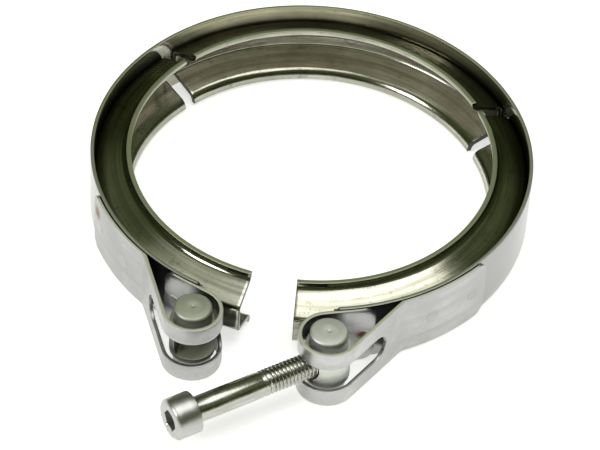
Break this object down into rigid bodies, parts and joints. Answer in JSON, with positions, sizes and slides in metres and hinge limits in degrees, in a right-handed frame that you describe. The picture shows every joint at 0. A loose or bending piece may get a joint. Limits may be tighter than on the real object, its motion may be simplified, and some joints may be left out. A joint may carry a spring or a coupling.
{
  "type": "V-band profile clamp",
  "caption": "Hinged V-band clamp: spring band with V-section segments, trunnion loops and a swing-out socket head screw that pulls the ring closed round flanged pipe ends.",
  "frame": {"origin": "centre of the ring on its middle plane", "axes": "+Z along the ring axis, which is the pipe axis; +Y from the centre to the middle of the rear segment; the opening and the screw face -Y"},
  "size_m": [0.14, 0.187, 0.0232],
  "materials": {
    "band_steel": "bright rolled stainless steel",
    "segment_steel": "bright roll-formed stainless steel with rolling marks",
    "strap_steel": "satin stainless steel",
    "weld_mark": "heat-tinted spot welds",
    "trunnion_steel": "turned stainless steel",
    "screw_steel": "bright stainless steel screw"
  },
  "bodies": {
    "rear": {"outer_band_rear": "band_steel", "v_segment_rear": "segment_steel", "segment_welds_rear": "weld_mark"},
    "left_arm": {"outer_band_left": "band_steel", "v_segment_left": "segment_steel", "segment_welds_left": "weld_mark", "loop_strap_left": "strap_steel", "strap_welds_left": "weld_mark"},
    "right_arm": {"outer_band_right": "band_steel", "v_segment_right": "segment_steel", "segment_welds_right": "weld_mark", "loop_strap_right": "strap_steel", "strap_welds_right": "weld_mark"},
    "saddle_trunnion": {"saddle_trunnion": "trunnion_steel"},
    "threaded_trunnion": {"threaded_trunnion": "trunnion_steel"},
    "screw": {"socket_head_screw": "screw_steel"}
  },
  "joints": [
    {"name": "left_band_flex", "type": "hinge", "parent": "rear", "child": "left_arm", "pos_m": [-0.05685, 0.03981, 0], "axis": [0, 0, -1], "range_deg": [-3, 20]},
    {"name": "right_band_flex", "type": "hinge", "parent": "rear", "child": "right_arm", "pos_m": [0.05685, 0.03981, 0], "axis": [0, 0, 1], "range_deg": [-3, 20]},
    {"name": "saddle_trunnion_turn", "type": "hinge", "parent": "left_arm", "child": "saddle_trunnion", "pos_m": [-0.02079, -0.07653, 0], "axis": [0, 0, 1], "continuous": true},
    {"name": "screw_swing", "type": "hinge", "parent": "right_arm", "child": "threaded_trunnion", "pos_m": [0.02079, -0.07653, 0], "axis": [0, 0, 1], "range_deg": [-16, 68]},
    {"name": "screw_feed", "type": "slide", "parent": "threaded_trunnion", "child": "screw", "axis": [-0.7431, -0.6691, 0], "range_m": [0, 0.006]}
  ]
}
